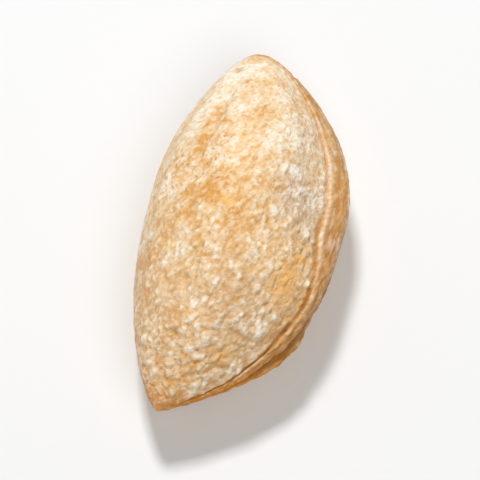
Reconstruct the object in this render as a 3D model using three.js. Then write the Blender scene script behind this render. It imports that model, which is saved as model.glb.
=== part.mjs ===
// An almond in its shell, lying on one cheek as it lies on a table.
// Millimetres. +X runs from the pointed tip to the stem end, -Y to the keel, +Z up.
// The nut is one closed shell: two cheeks that meet in a blunt keel in front and a rounded back.
import * as THREE from "three";

const { lerp, smoothstep, radToDeg } = THREE.MathUtils;

// Driving dimensions
const LENGTH = 37.1;
const KEEL_REACH = 12; // from the line through both ends out to the keel
const BACK_REACH = 6.5; // from the same line to the rounded back
const UPPER_CHEEK = 6.8; // height above the plane of the seam
const LOWER_CHEEK = 6.6; // depth below it
const KEEL_RISE = 0.06; // how much the seam climbs for each millimetre towards the keel
const REST_CUT = 0.3; // worn off the lowest point, which leaves the small spot that the nut rests on

// Each side's outline swells from both ends to a peak, at a share of the length from the stem end.
// A low "blunt" makes that end round, and near 1 makes it a corner; "full" widens the shoulder.
const KEEL_BOW = { peak: 0.445, stem: { full: 2.1, blunt: 0.8 }, tip: { full: 2.9, blunt: 0.93 } };
const BACK_BOW = { peak: 0.44, stem: { full: 2.1, blunt: 0.61 }, tip: { full: 1.95, blunt: 0.73 } };
const UPPER_BOW = { peak: 0.43, stem: { full: 2, blunt: 0.72 }, tip: { full: 2.1, blunt: 0.8 } };
const LOWER_BOW = { peak: 0.54, stem: { full: 2, blunt: 0.72 }, tip: { full: 2.1, blunt: 0.8 } };

// The section: each cheek is a dome from the back to the crease where the keel's flange begins
const THICKEST_AT = { upper: 0.46, lower: 0.5 }; // share of the width, from the back
const KEEL_SIDE = { full: 2.2, blunt: 0.8 };
const BACK_SIDE = { full: 2.3, blunt: 0.54 };
// Shares of the way to the rim at each end, and of the length where one turns into the other
const CREASE_AT = { stem: 0.77, tip: 0.88, from: 0.46, to: 0.66 };
const CREASE_SHARPNESS = 3.2; // power of the blend between cheek and flange

// Keel: a blunt flange along the seam, parted at its rim by the suture
const FLANGE_HALF = 1; // half its thickness at the rim
const FLANGE_FLARE = 0.18; // how much thicker it gets for each millimetre inwards
const RIM = { full: 2, blunt: 0.5, wide: 0.9 }; // its edge is rounded over this width
const SUTURE = { depth: 0.22, wide: 0.35 };
const LOWER_LIP = { out: 1.2, from: 0.65, full: 0.79, ebbs: 0.82, gone: 0.94 }; // stands out below
const LIP_STARTS = 0.8; // share of the way to the rim
const SEAM_WAVE = { height: 0.35, phase: 0.6, full: 0.6 };

// Stem scar: the end is cut short and hollowed
const SCAR_END = 0.014; // share of the length
const SCAR_DEPTH = 0.45;

// Furrows run lengthwise. "at" is the angle round the section: 0 keel, 90 upper cheek, 180 back.
const FURROWS = [
  { at: 56, depth: 0.3, width: 5, from: 0.05, to: 0.45 },
  { at: 84, depth: 0.16, width: 5, from: 0.04, to: 0.4 },
  { at: 122, depth: 0.34, width: 6, from: 0.05, to: 0.5 },
  { at: 158, depth: 0.22, width: 6, from: 0.08, to: 0.9 },
  { at: 203, depth: 0.26, width: 6, from: 0.06, to: 0.85 },
  { at: 236, depth: 0.32, width: 6, from: 0.05, to: 0.55 },
  { at: 274, depth: 0.2, width: 6, from: 0.04, to: 0.5 },
  { at: 306, depth: 0.3, width: 5, from: 0.45, to: 0.95 },
];
const FURROW_WANDER = { degrees: 4, times: 3, seed: 5 };
const FURROW_ENDS = { rise: 0.12, fall: 0.2 }; // shares of the length over which one fades

// Relief of the shell, in millimetres: height, and how long and wide one swell is
const DENTS = { height: 0.3, long: 13, wide: 7.5, seed: 4 };
const WRINKLES = { height: 0.5, long: 4.2, wide: 1.9, seed: 17 };
const WRINKLE_GIRTH = 8; // radius of the ring on which the wrinkles' width is measured
const WRINKLE_LEAN = 0.03; // radians that they turn round the nut for each millimetre of length
const WRINKLE_GROWTH = { least: 0.5, from: 0.2, full: 0.55 }; // they are fainter at the stem end
const WRINKLES_ON_RIMS = 0.3; // share of their height at the keel and the back
const RELIEF_FADE = { from: 0.02, full: 0.12, ebbs: 0.9, gone: 0.985 };

// Mesh
const ROUND_SEGMENTS = 88;
const LENGTH_RINGS = 68;
const SCAR_RINGS = 3;
const END_DENSITY = 0.07; // crowds the rings towards both ends
const CHEEK_DENSITY = 0.15; // crowds the points onto the cheeks, where the wrinkles are

const SHELL_COLOUR = 0xe0b987;

// Rises from 0 at the end of a side to 1 at its peak; "way" runs from 0 at the peak to 1 at the end.
function swell(way, { full, blunt }) {
  return Math.pow(Math.max(0, 1 - Math.pow(way, full)), blunt);
}

function bow(t, { peak, stem, tip }) {
  return t < peak ? swell((peak - t) / peak, stem) : swell((t - peak) / (1 - peak), tip);
}

function risesAndEbbs(t, { from, full, ebbs, gone }) {
  return smoothstep(t, from, full) * (1 - smoothstep(t, ebbs, gone));
}

// A repeatable random slope for each corner of a unit lattice
function cornerSlope(x, y, z, seed) {
  let h = Math.imul(x, 73856093) ^ Math.imul(y, 19349663) ^ Math.imul(z, 83492791);
  h = Math.imul(h ^ seed ^ (h >>> 15), 2246822519);
  h = Math.imul(h ^ (h >>> 13), 3266489917);
  h ^= h >>> 16;
  return [h & 1023, (h >>> 10) & 1023, (h >>> 20) & 1023].map((bits) => bits / 511.5 - 1);
}

// Smooth gradient noise, about -1 to 1, with one swell for each unit of length
function noise(x, y, z, seed) {
  const cell = [x, y, z].map(Math.floor);
  const inside = [x - cell[0], y - cell[1], z - cell[2]];
  const ease = inside.map((s) => s * s * s * (s * (6 * s - 15) + 10));
  let sum = 0;
  for (let corner = 0; corner < 8; corner++) {
    const step = [corner & 1, (corner >> 1) & 1, corner >> 2];
    const slope = cornerSlope(...step.map((s, i) => cell[i] + s), seed);
    let weight = 1;
    let height = 0;
    for (let i = 0; i < 3; i++) {
      weight *= step[i] ? ease[i] : 1 - ease[i];
      height += slope[i] * (inside[i] - step[i]);
    }
    sum += weight * height;
  }
  return sum;
}

// Height above the seam on the keel's side; "way" runs from 0 at the thickest line to 1 at the rim
function keelSideHeight(t, way, span, cheek) {
  const fromRim = span * (1 - way);
  const edge = swell(Math.max(0, 1 - fromRim / RIM.wide), RIM);
  const flange = Math.sqrt(bow(t, KEEL_BOW)) * (FLANGE_HALF * edge + FLANGE_FLARE * fromRim);
  const crease = lerp(CREASE_AT.stem, CREASE_AT.tip, smoothstep(t, CREASE_AT.from, CREASE_AT.to));
  const dome = cheek * swell(Math.min(1, way / crease), KEEL_SIDE);
  const sum = Math.pow(dome, CREASE_SHARPNESS) + Math.pow(flange, CREASE_SHARPNESS);
  return Math.pow(sum, 1 / CREASE_SHARPNESS);
}

function dents(p) {
  return DENTS.height * noise(p.x / DENTS.long, p.y / DENTS.wide, p.z / DENTS.wide, DENTS.seed);
}

function wrinkles(p, t, angle) {
  const around = angle + WRINKLE_LEAN * p.x;
  const girth = WRINKLE_GIRTH / WRINKLES.wide;
  const swells = noise(p.x / WRINKLES.long, girth * Math.cos(around), girth * Math.sin(around), WRINKLES.seed);
  const growth = lerp(WRINKLE_GROWTH.least, 1, smoothstep(t, WRINKLE_GROWTH.from, WRINKLE_GROWTH.full));
  const onCheek = lerp(WRINKLES_ON_RIMS, 1, Math.sin(angle) ** 2);
  return WRINKLES.height * growth * onCheek * bow(t, UPPER_BOW) * swells;
}

function furrows(t, degrees) {
  let depth = 0;
  for (const { at, depth: deep, width, from, to } of FURROWS) {
    const wander = FURROW_WANDER.degrees * noise(FURROW_WANDER.times * t, at, 0, FURROW_WANDER.seed);
    const off = (degrees - at - wander) / width;
    const ends = { from, full: from + FURROW_ENDS.rise, ebbs: to - FURROW_ENDS.fall, gone: to };
    depth += deep * risesAndEbbs(t, ends) * Math.exp(-off * off);
  }
  return depth;
}

// How far the surface stands out from the smooth form
function relief(p, t, angle) {
  return risesAndEbbs(t, RELIEF_FADE) * (dents(p) + wrinkles(p, t, angle) - furrows(t, radToDeg(angle)));
}

// A point of the surface, for t from the stem end (0) to the tip (1) and an angle round the section
function surface(t, angle) {
  const s = Math.max(t, SCAR_END);
  const scarShare = Math.min(1, t / SCAR_END);
  const keel = KEEL_REACH * bow(s, KEEL_BOW);
  const back = -BACK_REACH * bow(s, BACK_BOW);
  const side = Math.sign(Math.sin(angle));
  const thickest = lerp(back, keel, side < 0 ? THICKEST_AT.lower : THICKEST_AT.upper);
  const cheek = side < 0 ? LOWER_CHEEK * bow(s, LOWER_BOW) : UPPER_CHEEK * bow(s, UPPER_BOW);
  const way = Math.abs(Math.cos(angle));

  let reach, height;
  if (Math.cos(angle) > 0) {
    height = keelSideHeight(s, way, keel - thickest, cheek);
    const inSuture = Math.exp(-Math.pow(height / SUTURE.wide, 2));
    const lip = side < 0 ? LOWER_LIP.out * risesAndEbbs(s, LOWER_LIP) : 0;
    const onRim = smoothstep(way, LIP_STARTS, 1) * Math.sqrt(bow(s, KEEL_BOW));
    reach = lerp(thickest, keel, way) + onRim * lerp(lip, -SUTURE.depth, inSuture);
  } else {
    height = cheek * swell(way, BACK_SIDE);
    reach = lerp(thickest, back, way);
  }
  const outwards = new THREE.Vector3(0, thickest - reach, side * height).normalize();

  // Inside the scar the section shrinks to a point and the end is hollowed
  reach = lerp((keel + back) / 2, reach, scarShare);
  height *= scarShare;
  const hollow = SCAR_DEPTH * Math.pow(1 - scarShare * scarShare, 2);
  const wave = Math.sin(2 * Math.PI * s + SEAM_WAVE.phase) * smoothstep(bow(s, KEEL_BOW), 0, SEAM_WAVE.full);
  const seam = KEEL_RISE * reach - SEAM_WAVE.height * wave;
  const smooth = new THREE.Vector3(LENGTH * (0.5 - s) - hollow, -reach, seam + side * height);
  return smooth.addScaledVector(outwards, relief(smooth, t, angle));
}

// Where each ring lies: the first few cross the scar, and the rest run on to the tip
function ringPlace(row) {
  if (row <= SCAR_RINGS) return (SCAR_END * row) / SCAR_RINGS;
  const way = (row - SCAR_RINGS) / (LENGTH_RINGS - SCAR_RINGS);
  return lerp(SCAR_END, 1, way - END_DENSITY * Math.sin(2 * Math.PI * way));
}

// A sphere's rings become the nut's cross-sections, from the stem end to the tip
function makeShell() {
  const geometry = new THREE.SphereGeometry(1, ROUND_SEGMENTS, LENGTH_RINGS);
  const { position, uv } = geometry.attributes;
  for (let i = 0; i < position.count; i++) {
    const row = Math.round((1 - uv.getY(i)) * LENGTH_RINGS);
    const turn = 2 * Math.PI * ((1 - uv.getX(i)) % 1);
    const angle = turn + CHEEK_DENSITY * Math.sin(2 * turn);
    const p = surface(ringPlace(row), angle);
    position.setXYZ(i, p.x, p.y, p.z);
  }
  return geometry;
}

// Flattens the lowest spot and puts the origin under the middle of the nut
function restOnSpot(geometry) {
  geometry.computeBoundingBox();
  const { min, max } = geometry.boundingBox;
  const floor = min.z + REST_CUT;
  const { position } = geometry.attributes;
  for (let i = 0; i < position.count; i++) {
    position.setZ(i, Math.max(floor, position.getZ(i)));
  }
  geometry.translate(-(min.x + max.x) / 2, -(min.y + max.y) / 2, -floor);
  geometry.computeVertexNormals();
  return geometry;
}

const shell = new THREE.Mesh(
  restOnSpot(makeShell()),
  new THREE.MeshStandardMaterial({ color: SHELL_COLOUR, roughness: 0.85, metalness: 0 }),
);
shell.name = "almond";

const almond = new THREE.Group();
almond.add(shell);
export default almond;
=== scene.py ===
import math
from collections import namedtuple

import bpy
import numpy as np
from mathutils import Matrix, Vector


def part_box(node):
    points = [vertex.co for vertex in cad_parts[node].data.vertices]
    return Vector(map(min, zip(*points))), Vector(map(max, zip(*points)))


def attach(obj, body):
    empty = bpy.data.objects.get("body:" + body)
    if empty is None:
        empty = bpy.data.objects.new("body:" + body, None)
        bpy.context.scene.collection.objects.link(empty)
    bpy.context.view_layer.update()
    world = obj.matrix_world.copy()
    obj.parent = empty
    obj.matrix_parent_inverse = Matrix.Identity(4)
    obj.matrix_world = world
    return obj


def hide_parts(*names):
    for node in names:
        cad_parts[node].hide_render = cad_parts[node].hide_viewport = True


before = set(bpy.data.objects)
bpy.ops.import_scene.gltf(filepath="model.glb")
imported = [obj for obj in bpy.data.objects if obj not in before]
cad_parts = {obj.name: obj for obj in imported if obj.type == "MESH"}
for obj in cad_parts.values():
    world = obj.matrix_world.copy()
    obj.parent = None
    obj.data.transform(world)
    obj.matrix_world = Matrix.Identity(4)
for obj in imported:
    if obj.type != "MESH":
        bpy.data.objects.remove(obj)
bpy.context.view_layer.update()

MM = 0.001

Side = namedtuple("Side", "full blunt")
Bow = namedtuple("Bow", "peak stem tip")
Fade = namedtuple("Fade", "start full ebbs gone")
Layer = namedtuple("Layer", "height long wide seed")
Furrow = namedtuple("Furrow", "at depth width start end")
Wander = namedtuple("Wander", "reach long seed")
Scatter = namedtuple("Scatter", "count least greatest seed")
Patch = namedtuple("Patch", "t at half_long half_wide strength")
Trend = namedtuple("Trend", "stemward tipward start end")
Pattern = namedtuple("Pattern", "scale along detail roughness", defaults=(2.0, 0.5))
Light = namedtuple("Light", "name azimuth elevation distance size power")

# The form, with the part's own values
LENGTH = 37.1
KEEL_REACH = 12  # from the line through both ends out to the keel
BACK_REACH = 6.5  # from the same line to the rounded back
UPPER_CHEEK = 6.8  # height above the plane of the seam
LOWER_CHEEK = 6.6  # depth below it
KEEL_RISE = 0.06  # how much the seam climbs for each millimetre towards the keel
REST_CUT = 0.3  # worn off the lowest point, which leaves the small spot that the nut rests on

# Each side's outline swells from both ends to a peak at t.
# A low "blunt" makes that end round, and near 1 makes it a corner; "full" widens the shoulder.
KEEL_BOW = Bow(0.445, stem=Side(2.1, 0.8), tip=Side(2.9, 0.93))
BACK_BOW = Bow(0.44, stem=Side(2.1, 0.61), tip=Side(1.95, 0.73))
UPPER_BOW = Bow(0.43, stem=Side(2, 0.72), tip=Side(2.1, 0.8))
LOWER_BOW = Bow(0.54, stem=Side(2, 0.72), tip=Side(2.1, 0.8))

# The section: each cheek is a dome from the back to the crease where the keel's flange begins
THICKEST_UPPER, THICKEST_LOWER = 0.46, 0.5  # shares of the width, from the back
KEEL_SIDE = Side(2.2, 0.8)
BACK_SIDE = Side(2.3, 0.54)
CREASE_AT = Trend(0.77, 0.88, 0.46, 0.66)  # shares of the way to the rim, and the t between them
CREASE_SHARPNESS = 3.2  # power of the blend between cheek and flange

# Keel: a blunt flange along the seam, parted at its rim by the suture
FLANGE_HALF = 1  # half its thickness at the rim
FLANGE_FLARE = 0.18  # how much thicker it gets for each millimetre inwards
RIM, RIM_WIDE = Side(2, 0.5), 0.9  # its edge is rounded over this width
SUTURE_DEPTH, SUTURE_WIDE = 0.22, 0.35
LOWER_LIP_OUT, LOWER_LIP = 1.2, Fade(0.65, 0.79, 0.82, 0.94)
LIP_STARTS = 0.8  # share of the way to the rim
SEAM_WAVE_HEIGHT, SEAM_WAVE_PHASE, SEAM_WAVE_FULL = 0.35, 0.6, 0.6

# Stem scar: the end is cut short and hollowed
SCAR_END, SCAR_DEPTH = 0.014, 0.45

FURROWS = [
    Furrow(56, 0.3, 5, 0.05, 0.45),
    Furrow(84, 0.16, 5, 0.04, 0.4),
    Furrow(122, 0.34, 6, 0.05, 0.5),
    Furrow(158, 0.22, 6, 0.08, 0.9),
    Furrow(203, 0.26, 6, 0.06, 0.85),
    Furrow(236, 0.32, 6, 0.05, 0.55),
    Furrow(274, 0.2, 6, 0.04, 0.5),
    Furrow(306, 0.3, 5, 0.45, 0.95),
]
FURROW_WANDER, FURROW_WANDER_TIMES, FURROW_SEED = 4, 3, 5
FURROW_RISE, FURROW_FALL = 0.12, 0.2  # shares of the length over which one fades
DENTS = Layer(0.3, 13, 7.5, 4)
WRINKLES = Layer(0.5, 4.2, 1.9, 17)
WRINKLE_GIRTH = 8  # radius of the ring on which the wrinkles' width is measured
WRINKLE_LEAN = 0.03  # radians that they turn round the nut for each millimetre of length
WRINKLE_GROWTH = Trend(0.5, 1, 0.2, 0.55)  # they are fainter at the stem end
WRINKLES_ON_RIMS = 0.3  # share of their height at the keel and the back
RELIEF_FADE = Fade(0.02, 0.12, 0.9, 0.985)

# The part's own grid, and the finer one of about 195,000 triangles
END_DENSITY = 0.07  # crowds the rings towards both ends
CHEEK_DENSITY = 0.15  # crowds the points onto the cheeks
PART_RINGS, PART_SEGMENTS, PART_SCAR_RINGS = 68, 88, 3
RINGS, SEGMENTS, SCAR_RINGS = 264, 370, 8

# Finer relief: a layer's height is the whole way from its lowest to its highest
WAVY_WRINKLES = Layer(0.3, 2.1, 1.3, 41)
SHORT_WRINKLES = Layer(0.3, 0.95, 0.7, 42)
GRAIN = Layer(0.32, 0.75, 0.5, 43)
GRAIN_LEAST = 0.6  # share of the grain that no growth at all would leave
WARP = Layer(0.8, 3.5, 3, 44)  # bends the ridges
BROAD_TOPS = 1.6  # above 1, the ridges have broader tops
SHARP_VALLEYS = 0.75  # below 1, the valleys between the ridges are narrow
STROKES_TURNED = -32  # degrees: a fine ridge's stem end lies nearer the keel
GROWTH_LEAST, GROWTH_FROM, GROWTH_FULL = 0.3, 0.32, 0.7  # the ridges grow towards the tip
ROUGHER_AT, ROUGHER_WIDE = 58, 30  # degrees: above the keel they grow nearer the stem
ROUGHER_SOONER = 0.22  # share of the length
SMOOTH_KEEL = 0.6  # share of the relief left on the keel's flange
SMOOTH_BACK = 0.35  # and at the back edge
BACK_NARROW = 5  # power: only the outermost part of the back is its edge
ENDS_FADE = 0.25  # power of the nut's bow by which the relief dies out at both ends

# Keel: fibres, a sharper cut in the crease, and a narrow split between two fibrous lips
FIBRES = Layer(0.08, 2.2, 0.42, 62)
GIRTH_AT_ENDS = 0.25  # share of the middle's girth, so that the fibres don't crowd at the ends
CREASE_WANDER = Wander(0.016, 3.4, 63)  # its reach is a share of the way to the rim
CREASE_CUT, CREASE_HALF = 0.24, 0.018  # depth, and half its width as a share of the way to the rim
FLANGE_PAST_CREASE = (0.01, 0.08)  # its finish starts and is full, as shares of the way to the rim
SPLIT_DEPTH, SPLIT_HALF = 0.28, 2.6  # half its width in degrees
SPLIT_WANDER = Wander(1.6, 2.6, 61)  # its reach is in degrees
SPLIT_ENDS = Fade(0.02, 0.08, 0.95, 1)
LIPS_HEIGHT, LIPS_AT, LIPS_HALF = 0.1, 9, 4.5  # degrees from the split, and half the width

# Small round pits and orange specks
PITS, PIT_DEPTH = Scatter(60, 0.14, 0.26, 9), 0.13
SPECKS = Scatter(90, 0.2, 0.5, 21)
SCATTER_FROM_ENDS = 20  # rings

# Where the colours lie; a patch's half_long is a share of the length, and its half_wide is in degrees
TAN_PATCHES = [
    Patch(0.42, 134, 0.07, 18, 1.0),
    Patch(0.4, 116, 0.05, 13, 0.9),
    Patch(0.33, 110, 0.04, 10, 0.7),
    Patch(0.47, 108, 0.05, 14, 0.9),
    Patch(0.53, 86, 0.06, 12, 0.9),
    Patch(0.55, 132, 0.08, 8, 0.7),
    Patch(0.6, 110, 0.04, 9, 0.7),
    Patch(0.36, 88, 0.1, 10, 0.5),
    Patch(0.6, 42, 0.06, 5, 0.5),
    Patch(0.83, 56, 0.03, 7, 0.3),
    Patch(0.36, 27, 0.12, 6, 0.8),
    Patch(0.3, 128, 0.12, 4, 0.5),
    Patch(0.5, 240, 0.1, 16, 0.9),
    Patch(0.35, 280, 0.08, 14, 0.8),
    Patch(0.7, 260, 0.06, 12, 0.7),
]
GOLD_PATCHES = [
    Patch(0.553, 46, 0.014, 3.5, 1.0),
    Patch(0.605, 50, 0.035, 7, 1.0),
    Patch(0.66, 50, 0.03, 9, 0.6),
    Patch(0.84, 55, 0.025, 9, 0.45),
    Patch(0.78, 100, 0.02, 6, 0.5),
    Patch(0.36, 22, 0.13, 6, 0.7),
    Patch(0.49, 95, 0.02, 7, 0.8),
    Patch(0.33, 96, 0.08, 12, 0.35),
    Patch(0.44, 132, 0.015, 5, 0.9),
    Patch(0.62, 128, 0.02, 4, 0.7),
    Patch(0.5, 235, 0.04, 9, 0.8),
    Patch(0.7, 300, 0.04, 7, 0.8),
]
GREY_PATCHES = [
    Patch(0.4, 60, 0.08, 12, 1.0),
    Patch(0.22, 52, 0.08, 7, 0.6),
    Patch(0.76, 68, 0.1, 18, 0.4),
    Patch(0.85, 100, 0.05, 25, 0.2),
    Patch(0.6, 290, 0.12, 16, 0.8),
    Patch(0.3, 235, 0.08, 12, 0.5),
]
FURROW_TAN_AND_SHADE, DEEP_FURROW = 0.4, 0.3  # how tan a deep furrow is, partly the shell's tone and partly painted shade, and how deep that is
SEAM_STAIN_AND_SHADE = 7  # degrees from the split over which the suture's stain and painted shade spread
WAVY_TONE_AND_LIGHT, SHORT_TONE_AND_LIGHT, GRAIN_TONE_AND_LIGHT = 0.2, 0.4, 0.85  # how much each relief's height pales the shell, partly its own tone and partly a painted highlight on the ridge tops and painted shade in the valleys

# Strengths that change along the nut
GREY_GROWS = Trend(0, 0.25, 0.45, 0.7)
# Painted shade: the shell grows darker and more orange towards the tip, a little less so right at the tip
TIPWARD_SHADE_GROWS, TIPWARD_SHADE_EBBS = Trend(0, 1, 0.35, 0.9), Trend(1, 0.72, 0.72, 0.84)
BAND_GROWS, BAND_EBBS = Trend(0.8, 1, 0.3, 0.6), Trend(1, 0.5, 0.84, 0.94)
CREASE_GROWS, CREASE_EBBS = Trend(0.4, 1, 0.3, 0.7), Trend(1, 0.4, 0.86, 0.95)
LIPS_EBB = Trend(1, 0, 0.5, 0.75)
STEM_ORANGE = Trend(1, 0, 0.005, 0.04)

# The tip's orange: the t where it starts and where it is full, on the cheeks and on the two rims
TIP_ON_CHEEKS = (0.93, 1)
TIP_ON_KEEL = (0.74, 0.88)
TIP_ON_BACK = (0.85, 0.98)
RIM_NARROW = 8  # power: only the outermost part of a side is its rim

# Fine patterns: swells for each millimetre, and how many of them lie along a stroke for one across
MOTTLE = Pattern(0.42, 0.6)
SPOTS = Pattern(0.95, 0.8)
SPECKLE = Pattern(2.0, 0.65, detail=3.0, roughness=0.6)
DOTS = Pattern(3.0, 0.85)
KEEL_FIBRES = Pattern(1.6, 0.4, detail=3.0)

WHITE = (0.98, 0.885, 0.735)
CREAM = (0.90, 0.68, 0.42)
PALE_TAN = (0.80, 0.46, 0.18)
ORANGE_TAN = (0.74, 0.355, 0.08)
GREY_WHITE = (0.93, 0.84, 0.72)
GREY_BEIGE = (0.72, 0.53, 0.36)
GREY_TAN = (0.55, 0.37, 0.22)
BROWN = (0.36, 0.155, 0.042)
# The orange-brown along the suture, in the crease and in the pits: partly the shell's own stain, partly
# painted shade
STAIN_AND_SHADE = (0.53, 0.235, 0.035)
# The keel flange's tan: partly its own colour, partly painted shade
FLANGE_TAN_AND_SHADE = (0.40, 0.172, 0.038)
GOLD = (0.95, 0.52, 0.15)
TIP_ORANGE = (0.67, 0.275, 0.04)

# How strongly the colours are laid on
SHADE_SHIFT = -1.79  # a lower one makes the whole shell paler
MIDDLE_SHADE = 0.4  # where the cream and the beige lie between the palest and the darkest shade
GREY_MOST = 0.85
MOTTLE_LIMIT = 1.07  # a lower one spreads the orange mottles
MOTTLE_EDGE, MOTTLE_MOST = (-0.03, 0.17), 0.78
DOTS_LEAST, DOTS_IN_TAN = 0.12, 0.4
BAND_MOST = 0.95
# The stain and the brown in the crease, the pits and the split are partly the shell's own colour and partly
# painted shade
CREASE_STAIN_AND_SHADE, PIT_STAIN_AND_SHADE = 1.4, 0.6
SPLIT_BROWN_AND_SHADE, CREASE_BROWN_AND_SHADE = 0.85, 0.9

# Finish of the shell
BUMP_HEIGHT = 0.18
SMOOTHEST, ROUGHEST = 0.75, 0.92
SPECULAR = 0.3
SHEEN, SHEEN_ROUGHNESS = 0.2, 0.4

# Floor, in metres
FLOOR_SIZE = 4
FLOOR_GREY = (0.88, 0.88, 0.88, 1)
FLOOR_ROUGHNESS = 0.9

# Camera: the photograph looks down on the nut from its tip's side
AZIMUTH = math.radians(-74.3)  # 0 looks along +Y, and 90 along -X
ELEVATION = math.radians(68)
SENSOR = 36
AWAY = 0.4  # metres from the nut
FRAMED = 0.0445  # metres across the frame at the nut
LOOK_AT = Vector((0, 0, 0.006))
CLIP_START = 0.001

# Lights: degrees from +X towards +Y, degrees up, metres away, metres wide and watts.
# The image's upper left is towards +X and +Y.
LIGHTS = [
    Light("key", 28, 62, 0.6, 0.1, 2.25),
    Light("fill", -140, 58, 0.8, 0.5, 1.85),
]
WORLD_STRENGTH = 0.3


def lerp(a, b, share):
    return a + (b - a) * share


def smoothstep(x, low, high):
    share = np.clip((x - low) / (high - low), 0, 1)
    return share * share * (3 - 2 * share)


def bell(off):
    """1 where off is 0, and almost gone where it is 2."""
    return np.exp(-off * off)


def swell(way, side):
    """Rises from 0 at the end of a side to 1 at its peak; way runs from 0 at the peak to 1 at the end."""
    return np.maximum(0, 1 - np.abs(way) ** side.full) ** side.blunt


def bow(t, outline):
    stemward = swell(np.minimum(1, (outline.peak - t) / outline.peak), outline.stem)
    tipward = swell((t - outline.peak) / (1 - outline.peak), outline.tip)
    return np.where(t < outline.peak, stemward, tipward)


def rises_and_ebbs(t, fade):
    return smoothstep(t, fade.start, fade.full) * (1 - smoothstep(t, fade.ebbs, fade.gone))


def follow(trend, t):
    """Goes over from one value to the other between two places along the nut."""
    return lerp(trend.stemward, trend.tipward, smoothstep(t, trend.start, trend.end))


def corner_slopes(cell, seed):
    """A repeatable random slope along each axis for the corners of a unit lattice."""
    x, y, z = ((place & 0xFFFFFFFF).astype(np.uint32) for place in cell)
    h = (x * np.uint32(73856093)) ^ (y * np.uint32(19349663)) ^ (z * np.uint32(83492791))
    h = (h ^ np.uint32(seed) ^ (h >> np.uint32(15))) * np.uint32(2246822519)
    h = (h ^ (h >> np.uint32(13))) * np.uint32(3266489917)
    h ^= h >> np.uint32(16)
    return [((h >> np.uint32(shift)) & np.uint32(1023)) / 511.5 - 1 for shift in (0, 10, 20)]


def noise(x, y, z, seed):
    """Smooth gradient noise, about -1 to 1, with one swell for each unit of length."""
    place = np.stack(np.broadcast_arrays(x, y, z)).astype(float)
    cell = np.floor(place)
    inside = place - cell
    cell = cell.astype(np.int64)
    ease = inside ** 3 * (inside * (6 * inside - 15) + 10)
    total = np.zeros(place.shape[1:])
    for corner in range(8):
        step = [corner & 1, (corner >> 1) & 1, corner >> 2]
        slopes = corner_slopes([cell[i] + step[i] for i in range(3)], seed)
        weight = 1
        height = 0
        for i in range(3):
            weight = weight * (ease[i] if step[i] else 1 - ease[i])
            height = height + slopes[i] * (inside[i] - step[i])
        total += weight * height
    return total


def layer_noise(place, layer):
    x = place[..., 0] / layer.long
    y = place[..., 1] / layer.wide
    z = place[..., 2] / layer.wide
    return noise(x, y, z, layer.seed)


def keel_side_height(t, way, span, cheek):
    """Height above the seam; way runs from 0 at the thickest line to 1 at the rim."""
    from_rim = span * (1 - way)
    edge = swell(np.maximum(0, 1 - from_rim / RIM_WIDE), RIM)
    flange = np.sqrt(bow(t, KEEL_BOW)) * (FLANGE_HALF * edge + FLANGE_FLARE * from_rim)
    dome = cheek * swell(np.minimum(1, way / follow(CREASE_AT, t)), KEEL_SIDE)
    total = dome ** CREASE_SHARPNESS + flange ** CREASE_SHARPNESS
    return total ** (1 / CREASE_SHARPNESS)


def dents(p):
    return DENTS.height * layer_noise(p, DENTS)


def wrinkles(p, t, angle):
    around = angle + WRINKLE_LEAN * p[..., 0]
    girth = WRINKLE_GIRTH / WRINKLES.wide
    swells = noise(p[..., 0] / WRINKLES.long, girth * np.cos(around), girth * np.sin(around), WRINKLES.seed)
    on_cheek = lerp(WRINKLES_ON_RIMS, 1, np.sin(angle) ** 2)
    return WRINKLES.height * follow(WRINKLE_GROWTH, t) * on_cheek * bow(t, UPPER_BOW) * swells


def furrows(t, degrees):
    depth = 0
    for furrow in FURROWS:
        swing = FURROW_WANDER * noise(FURROW_WANDER_TIMES * t, furrow.at, 0, FURROW_SEED)
        ends = Fade(furrow.start, furrow.start + FURROW_RISE, furrow.end - FURROW_FALL, furrow.end)
        across = bell((degrees - furrow.at - swing) / furrow.width)
        depth = depth + furrow.depth * rises_and_ebbs(t, ends) * across
    return depth


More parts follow.
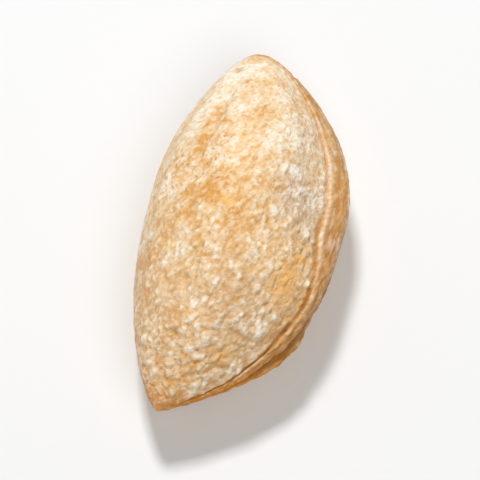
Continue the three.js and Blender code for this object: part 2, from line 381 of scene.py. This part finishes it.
def surface(t, angle):
    """The part's own surface in millimetres, before it is set down."""
    s = np.maximum(t, SCAR_END)
    scar_share = np.minimum(1, t / SCAR_END)
    keel = KEEL_REACH * bow(s, KEEL_BOW)
    back = -BACK_REACH * bow(s, BACK_BOW)
    side = np.where(np.isclose(np.sin(angle), 0, atol=1e-9), 0, np.sign(np.sin(angle)))
    thickest = lerp(back, keel, np.where(side < 0, THICKEST_LOWER, THICKEST_UPPER))
    cheek = np.where(side < 0, LOWER_CHEEK * bow(s, LOWER_BOW), UPPER_CHEEK * bow(s, UPPER_BOW))
    way = np.abs(np.cos(angle))

    keel_height = keel_side_height(s, way, keel - thickest, cheek)
    in_suture = bell(keel_height / SUTURE_WIDE)
    lip = np.where(side < 0, LOWER_LIP_OUT * rises_and_ebbs(s, LOWER_LIP), 0)
    on_rim = smoothstep(way, LIP_STARTS, 1) * np.sqrt(bow(s, KEEL_BOW))
    keel_reach = lerp(thickest, keel, way) + on_rim * lerp(lip, -SUTURE_DEPTH, in_suture)
    in_front = np.cos(angle) > 0
    height = np.where(in_front, keel_height, cheek * swell(way, BACK_SIDE))
    reach = np.where(in_front, keel_reach, lerp(thickest, back, way))
    outwards = np.stack([0 * reach, thickest - reach, side * height], -1)
    outwards /= np.maximum(1e-9, np.linalg.norm(outwards, axis=-1, keepdims=True))

    # Inside the scar the section shrinks to a point and the end is hollowed
    reach = lerp((keel + back) / 2, reach, scar_share)
    height = height * scar_share
    hollow = SCAR_DEPTH * (1 - scar_share ** 2) ** 2
    wave = np.sin(2 * np.pi * s + SEAM_WAVE_PHASE) * smoothstep(bow(s, KEEL_BOW), 0, SEAM_WAVE_FULL)
    seam = KEEL_RISE * reach - SEAM_WAVE_HEIGHT * wave
    x = LENGTH * (0.5 - s) - hollow + 0 * reach
    smooth = np.stack([x, -reach, seam + side * height], -1)
    relief = dents(smooth) + wrinkles(smooth, t, angle) - furrows(t, np.degrees(angle))
    return smooth + outwards * (rises_and_ebbs(t, RELIEF_FADE) * relief)[..., None]


def grid(rings, segments, scar_rings):
    """t and angle for a grid of rings, spaced as the part's own are."""
    row = np.arange(rings + 1.0)
    way = (row - scar_rings) / (rings - scar_rings)
    run = lerp(SCAR_END, 1, way - END_DENSITY * np.sin(2 * np.pi * way))
    t = np.where(row <= scar_rings, SCAR_END * row / scar_rings, run)
    turn = 2 * np.pi * np.arange(segments) / segments
    angle = turn + CHEEK_DENSITY * np.sin(2 * turn)
    return np.broadcast_arrays(t[:, None], angle[None, :])


def part_shift():
    """How the part's source moves the nut so that it rests on the floor over its origin."""
    points = surface(*grid(PART_RINGS, PART_SEGMENTS, PART_SCAR_RINGS)).reshape(-1, 3)
    low, high = points.min(0), points.max(0)
    middle = (low + high) / 2
    return np.array([middle[0], middle[1], low[2] + REST_CUT])


t, angle = grid(RINGS, SEGMENTS, SCAR_RINGS)
base = surface(t, angle) - part_shift()
degrees = np.degrees(angle)
way = np.abs(np.cos(angle))
keel_side = np.cos(angle) > 0
x_mm = LENGTH * (0.5 - t)


def ridges(place, layer):
    """Rounded ridges with narrow valleys between them, from -1 to 1."""
    return 2 * np.minimum(1, np.abs(BROAD_TOPS * layer_noise(place, layer))) ** SHARP_VALLEYS - 1


def wander(line):
    """How far a line along the nut swings to either side."""
    return line.reach * noise(x_mm / line.long, 0, 0, line.seed)


def turned_askew(points):
    """The points' coordinates along and across the fine ridges."""
    turn = math.radians(STROKES_TURNED)
    along = points[..., 0] * math.cos(turn) + points[..., 1] * math.sin(turn)
    across = points[..., 1] * math.cos(turn) - points[..., 0] * math.sin(turn)
    return np.stack([along, across, points[..., 2]], -1)


def scatter(count, least, greatest, seed):
    """Round spots, each 1 at its middle; their radii are in millimetres."""
    spots = np.zeros_like(t)
    dice = np.random.default_rng(seed)
    for _ in range(count):
        row = dice.integers(SCATTER_FROM_ENDS, RINGS - SCATTER_FROM_ENDS)
        column = dice.integers(0, SEGMENTS)
        radius = dice.uniform(least, greatest)
        spots = np.maximum(spots, bell(np.linalg.norm(base - base[row, column], axis=-1) / radius))
    return spots


# The cheeks' fine ridges and grain
strokes = turned_askew(base)
bent = strokes + (WARP.height * layer_noise(strokes, WARP))[..., None]
wavy = ridges(bent, WAVY_WRINKLES)
short = ridges(bent, SHORT_WRINKLES)
grain = layer_noise(strokes, GRAIN)
rough_from = GROWTH_FROM - ROUGHER_SOONER * bell((degrees - ROUGHER_AT) / ROUGHER_WIDE)
growth = lerp(GROWTH_LEAST, 1, smoothstep(t - rough_from, 0, GROWTH_FULL - GROWTH_FROM))
wrinkled = growth * (WAVY_WRINKLES.height * wavy + SHORT_WRINKLES.height * short)
wrinkled += GRAIN.height * lerp(GRAIN_LEAST, 1, growth) * grain

# They are fainter on the flange and at the back edge
crease_way = follow(CREASE_AT, t) + wander(CREASE_WANDER)
flange = np.where(keel_side, smoothstep(way - crease_way, *FLANGE_PAST_CREASE), 0)
at_back = np.where(keel_side, 0, way ** BACK_NARROW)
fades = bow(t, UPPER_BOW) ** ENDS_FADE
rise = wrinkled / 2 * lerp(1, SMOOTH_KEEL, flange) * lerp(1, SMOOTH_BACK, at_back) * fades

pits = scatter(*PITS)
rise -= PIT_DEPTH * pits

# The keel's fibres run along it and round it, on both sides of its split
girth = WRINKLE_GIRTH * lerp(GIRTH_AT_ENDS, 1, bow(t, UPPER_BOW))
along_keel = np.stack([x_mm, girth * np.cos(angle), girth * np.sin(angle)], -1)
from_seam = np.where(angle > np.pi, degrees - 360, degrees)
from_split = from_seam - wander(SPLIT_WANDER)
split = bell(from_split / SPLIT_HALF) * rises_and_ebbs(t, SPLIT_ENDS)
lips = bell((np.abs(from_split) - LIPS_AT) / LIPS_HALF) * rises_and_ebbs(t, SPLIT_ENDS)
in_crease = np.where(keel_side, bell((way - crease_way) / CREASE_HALF), 0)
rise += FIBRES.height / 2 * flange * ridges(along_keel, FIBRES)
rise += LIPS_HEIGHT * lips - SPLIT_DEPTH * split
rise -= CREASE_CUT * in_crease * rises_and_ebbs(t, SPLIT_ENDS)

# The middle of the fine relief lies on the part's own surface
rise -= rise.mean() / fades.mean() * fades


def normals_of(points):
    along_length = np.gradient(points, axis=0)
    round_nut = np.roll(points, -1, 1) - np.roll(points, 1, 1)
    n = np.cross(round_nut, along_length)
    n[0] = (1, 0, 0)
    n[-1] = (-1, 0, 0)
    return n / np.maximum(1e-12, np.linalg.norm(n, axis=-1, keepdims=True))


def raise_in_box(points, normals, rise):
    """Raises the surface, and eases in what would pass the part's own box."""
    low, high = (np.array(corner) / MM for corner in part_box("almond"))
    reach = np.where(normals > 0, high - points, low - points)
    room = np.min(reach / np.where(np.abs(normals) < 1e-6, 1e-6, normals), -1)
    room = np.maximum(1e-6, room)
    eased = np.where(rise > 0, room * (1 - np.exp(-np.maximum(0, rise) / room)), rise)
    return np.clip(points + normals * eased[..., None], low, high)


def as_vertices(values):
    """The grid's values in the order of the mesh's vertices: the rings, the stem's end, the tip."""
    return np.concatenate([values[1:-1].reshape(-1, *values.shape[2:]), values[0, :1], values[-1, :1]])


def make_nut(points):
    vertices = as_vertices(points) * MM
    stem, tip = len(vertices) - 2, len(vertices) - 1
    index = np.arange(stem).reshape(points.shape[0] - 2, points.shape[1])
    turned = np.roll(index, -1, 1)
    quads = np.stack([index[:-1], turned[:-1], turned[1:], index[1:]], -1).reshape(-1, 4)
    stem_fan = [(stem, b, a) for a, b in zip(index[0].tolist(), turned[0].tolist())]
    tip_fan = [(tip, a, b) for a, b in zip(index[-1].tolist(), turned[-1].tolist())]
    mesh = bpy.data.meshes.new("almond_shell")
    mesh.from_pydata(vertices.tolist(), [], quads.tolist() + stem_fan + tip_fan)
    mesh.polygons.foreach_set("use_smooth", np.ones(len(mesh.polygons), bool))
    mesh.update()
    nut = bpy.data.objects.new("almond_shell", mesh)
    bpy.context.scene.collection.objects.link(nut)
    return nut


nut = make_nut(raise_in_box(base, normals_of(base), rise))


def patches(rows):
    share = 0
    for patch in rows:
        off = ((t - patch.t) / patch.half_long) ** 2 + ((degrees - patch.at) / patch.half_wide) ** 2
        share = share + patch.strength * np.exp(-off)
    return share


def orange_ends():
    """Orange at the tip, where it reaches further along the rims than on the cheeks, and at the stem."""
    starts, full = (
        lerp(on_cheeks, np.where(keel_side, on_keel, on_back), way ** RIM_NARROW)
        for on_cheeks, on_keel, on_back in zip(TIP_ON_CHEEKS, TIP_ON_KEEL, TIP_ON_BACK))
    return np.maximum(smoothstep(t, starts, full), follow(STEM_ORANGE, t))


def add_attribute(name, values):
    """Gives the nut's material one number, or three, for each vertex."""
    flat = as_vertices(values).astype(np.float32)
    kind, key = ("FLOAT", "value") if flat.ndim == 1 else ("FLOAT_VECTOR", "vector")
    attribute = nut.data.attributes.new(name, kind, "POINT")
    attribute.data.foreach_set(key, flat.ravel())


# Tan laid into the furrows by their depth, partly the shell's tone and partly painted shade
furrow_tan_and_shade = FURROW_TAN_AND_SHADE * np.minimum(1, furrows(t, degrees) / DEEP_FURROW)
add_attribute("tan", np.minimum(1, patches(TAN_PATCHES) + furrow_tan_and_shade))
add_attribute("grey", np.minimum(1, patches(GREY_PATCHES) + follow(GREY_GROWS, t)))
add_attribute("gold", np.minimum(1, patches(GOLD_PATCHES)))
# Paler ridge tops and darker valleys: partly the shell's own tone, partly painted highlight and painted
# shade
add_attribute("ridge", growth * (WAVY_TONE_AND_LIGHT * wavy + SHORT_TONE_AND_LIGHT * short + GRAIN_TONE_AND_LIGHT * grain))
# The suture's stain and the brown in the split: partly their own colour, partly painted shade
add_attribute("seam", bell(from_split / SEAM_STAIN_AND_SHADE))
add_attribute("split", split)
# The lips' paleness: partly their own tone, partly a painted highlight
add_attribute("lips", lips * follow(LIPS_EBB, t))
# The crease's stain and brown: partly its own colour, partly painted shade
add_attribute("crease", in_crease * follow(CREASE_GROWS, t) * follow(CREASE_EBBS, t))
# The flange's tan band: partly its own colour, partly painted shade
add_attribute("band", flange * follow(BAND_GROWS, t) * follow(BAND_EBBS, t))
add_attribute("ends", orange_ends())
# Painted shade that darkens the shell and makes it more orange towards the tip
add_attribute("tipward", follow(TIPWARD_SHADE_GROWS, t) * follow(TIPWARD_SHADE_EBBS, t))
# Pits darkened with the stain: partly their own colour, partly painted shade
add_attribute("pit", pits)
add_attribute("speck", scatter(*SPECKS))

# Coordinates in millimetres for the fine patterns
add_attribute("strokes", strokes)
add_attribute("along_keel", along_keel)


class Nodes:
    """Short names for the nodes of one material."""

    def __init__(self, name):
        self.material = bpy.data.materials.new(name)
        self.material.use_nodes = True
        self.tree = self.material.node_tree
        self.shader = self.tree.nodes["Principled BSDF"]

    def add(self, kind, inputs=(), **settings):
        node = self.tree.nodes.new(kind)
        for key, value in settings.items():
            setattr(node, key, value)
        for key, value in dict(inputs).items():
            self.set(node.inputs[key], value)
        return node

    def set(self, socket, value):
        if isinstance(value, bpy.types.NodeSocket):
            self.tree.links.new(value, socket)
        else:
            socket.default_value = value

    def share(self, name):
        return self.add("ShaderNodeAttribute", attribute_name=name).outputs["Fac"]

    def place(self, name):
        return self.add("ShaderNodeAttribute", attribute_name=name).outputs["Vector"]

    def math(self, operation, a, b, clamp=False):
        node = self.add("ShaderNodeMath", {0: a, 1: b}, operation=operation, use_clamp=clamp)
        return node.outputs[0]

    def times(self, a, b, clamp=False):
        return self.math("MULTIPLY", a, b, clamp)

    def sum(self, *terms):
        """Adds up pairs of a socket and the number that it is multiplied by, and plain numbers."""
        total = 0.0
        for term in terms:
            if isinstance(term, tuple):
                term = self.times(*term)
            total = self.math("ADD", term, total)
        return total

    def noise(self, where, pattern):
        """Noise from 0 to 1."""
        mapping = self.add("ShaderNodeMapping", {"Vector": where, "Scale": (pattern.along, 1, 1)})
        node = self.add("ShaderNodeTexNoise", {
            "Vector": mapping.outputs[0], "Scale": pattern.scale,
            "Detail": pattern.detail, "Roughness": pattern.roughness})
        return node.outputs["Fac"]

    def between(self, value, low, high, to_low=0.0, to_high=1.0):
        """Eases from to_low to to_high as the value goes from low to high."""
        node = self.add("ShaderNodeMapRange", {
            "Value": value, "From Min": low, "From Max": high, "To Min": to_low, "To Max": to_high},
            interpolation_type="SMOOTHSTEP")
        return node.outputs[0]

    def ramp(self, value, stops):
        node = self.add("ShaderNodeValToRGB", {"Fac": value})
        elements = node.color_ramp.elements
        while len(elements) < len(stops):
            elements.new(0.5)
        for element, (place, colour) in zip(elements, stops):
            element.position = place
            element.color = (*colour, 1)
        return node.outputs["Color"]

    def mix(self, share, a, b):
        node = self.add("ShaderNodeMix", data_type="RGBA")
        self.set(node.inputs["Factor"], share)
        self.set(node.inputs[6], a)
        self.set(node.inputs[7], b)
        return node.outputs[2]

    def over(self, colour, share, paint):
        """Lays a plain colour over what is there, by a share."""
        return self.mix(share, colour, (*paint, 1))


def shell_material():
    """A dry matt nutshell; each step lays one more colour over the last."""
    m = Nodes("nutshell")
    where = m.place("strokes")
    mottle = m.noise(where, MOTTLE)
    spots = m.noise(where, SPOTS)
    speckle = m.noise(where, SPECKLE)
    dots = m.noise(where, DOTS)
    worn = m.between(m.noise(m.place("along_keel"), KEEL_FIBRES), 0.35, 0.6, 0.6, 1)
    tan = m.share("tan")
    grey = m.share("grey")
    crease = m.share("crease")
    tipward = m.share("tipward")

    # Pale ridges and tan valleys, greyer in places: the ridges' paleness and the valleys' tan are partly
    # the shell's own tone and partly painted highlight and painted shade, and tipward adds painted shade
    # towards the tip
    shade = m.sum(
        (dots, 1.5), (speckle, 1.0), (mottle, 1.7), (m.share("ridge"), -0.85), (tan, 0.25),
        (tipward, 0.28), SHADE_SHIFT)
    colour = m.ramp(shade, [(0.0, WHITE), (MIDDLE_SHADE, CREAM), (1.0, PALE_TAN)])
    greyed = m.ramp(shade, [(0.0, GREY_WHITE), (MIDDLE_SHADE, GREY_BEIGE), (1.0, GREY_TAN)])
    colour = m.mix(m.times(grey, GREY_MOST), colour, greyed)

    # Orange mottles, dark dots, orange specks and golden streaks
    limit = m.sum(
        (tan, -0.2), (grey, 0.1), (mottle, -0.4), (spots, -0.45), (tipward, -0.02), MOTTLE_LIMIT)
    mottled = m.between(m.math("SUBTRACT", speckle, limit), *MOTTLE_EDGE, 0, MOTTLE_MOST)
    colour = m.over(colour, mottled, ORANGE_TAN)
    dotted = m.times(m.between(dots, 0.6, 0.7), m.sum((tan, DOTS_IN_TAN), DOTS_LEAST))
    colour = m.over(colour, dotted, BROWN)
    specked = m.times(m.share("speck"), m.between(dots, 0.36, 0.54, 0.25, 1))
    colour = m.over(colour, specked, ORANGE_TAN)
    golden = m.times(m.share("gold"), m.between(speckle, 0.34, 0.52, 0.35, 1))
    colour = m.over(colour, golden, GOLD)

    # The keel's tan flange with its pale lips, and the stain along the suture, in the crease and in the
    # pits; the flange's tan and the stain are partly the shell's own colour and partly painted shade, and
    # the lips' paleness is partly a painted highlight
    banded = m.times(m.share("band"), m.times(worn, BAND_MOST))
    colour = m.over(colour, banded, FLANGE_TAN_AND_SHADE)
    pale_lips_and_highlight = m.times(m.share("lips"), m.between(speckle, 0.3, 0.6, 0.65, 0.15))
    colour = m.over(colour, pale_lips_and_highlight, WHITE)
    stain_and_shade = m.sum((m.share("seam"), 1.0), (crease, CREASE_STAIN_AND_SHADE), (m.share("pit"), PIT_STAIN_AND_SHADE))
    colour = m.over(colour, m.times(stain_and_shade, worn, clamp=True), STAIN_AND_SHADE)

    # Orange ends, and brown in the split and the crease, partly the shell's own colour and partly painted
    # shade
    ends = m.times(m.share("ends"), m.between(speckle, 0.34, 0.54, 0.35, 1))
    colour = m.over(colour, ends, TIP_ORANGE)
    creased = m.times(crease, m.between(speckle, 0.36, 0.58, 0.35, 1))
    colour = m.over(colour, m.sum((m.share("split"), SPLIT_BROWN_AND_SHADE), (creased, CREASE_BROWN_AND_SHADE)), BROWN)

    bump = m.add("ShaderNodeBump", {"Height": dots, "Distance": BUMP_HEIGHT * MM, "Strength": 1.0})
    m.set(m.shader.inputs["Base Color"], colour)
    m.set(m.shader.inputs["Roughness"], m.between(speckle, 0.3, 0.7, SMOOTHEST, ROUGHEST))
    m.set(m.shader.inputs["Normal"], bump.outputs[0])
    m.set(m.shader.inputs["Specular IOR Level"], SPECULAR)
    m.set(m.shader.inputs["Sheen Weight"], SHEEN)
    m.set(m.shader.inputs["Sheen Roughness"], SHEEN_ROUGHNESS)
    return m.material


nut.data.materials.append(shell_material())
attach(nut, "root")
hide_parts("almond")


def make_floor():
    bpy.ops.mesh.primitive_plane_add(size=FLOOR_SIZE)
    floor = bpy.context.object
    floor.name = "floor"
    finish = Nodes("pale_floor")
    finish.set(finish.shader.inputs["Base Color"], FLOOR_GREY)
    finish.set(finish.shader.inputs["Roughness"], FLOOR_ROUGHNESS)
    floor.data.materials.append(finish.material)
    return floor


def facing(direction):
    return direction.to_track_quat("-Z", "Y").to_euler()


def make_camera():
    flat = math.cos(ELEVATION)
    towards = Vector((-math.sin(AZIMUTH) * flat, math.cos(AZIMUTH) * flat, -math.sin(ELEVATION)))
    data = bpy.data.cameras.new("camera")
    data.lens = SENSOR * AWAY / FRAMED
    data.sensor_width = SENSOR
    data.clip_start = CLIP_START
    camera = bpy.data.objects.new("camera", data)
    camera.location = LOOK_AT - towards * AWAY
    camera.rotation_euler = facing(towards)
    bpy.context.scene.collection.objects.link(camera)
    return camera


def add_light(light):
    """A square soft light, aimed at the nut."""
    data = bpy.data.lights.new(light.name, "AREA")
    data.size = light.size
    data.energy = light.power
    azimuth = math.radians(light.azimuth)
    elevation = math.radians(light.elevation)
    flat = math.cos(elevation)
    away = Vector((math.cos(azimuth) * flat, math.sin(azimuth) * flat, math.sin(elevation)))
    lamp = bpy.data.objects.new(light.name, data)
    lamp.location = away * light.distance
    lamp.rotation_euler = facing(LOOK_AT - lamp.location)
    bpy.context.scene.collection.objects.link(lamp)


def make_world():
    world = bpy.data.worlds.new("studio")
    world.use_nodes = True
    background = world.node_tree.nodes["Background"]
    background.inputs["Color"].default_value = (1, 1, 1, 1)
    background.inputs["Strength"].default_value = WORLD_STRENGTH
    return world


floor = make_floor()
bpy.context.scene.camera = make_camera()
for light in LIGHTS:
    add_light(light)
bpy.context.scene.world = make_world()
bpy.context.scene.view_settings.view_transform = "Standard"
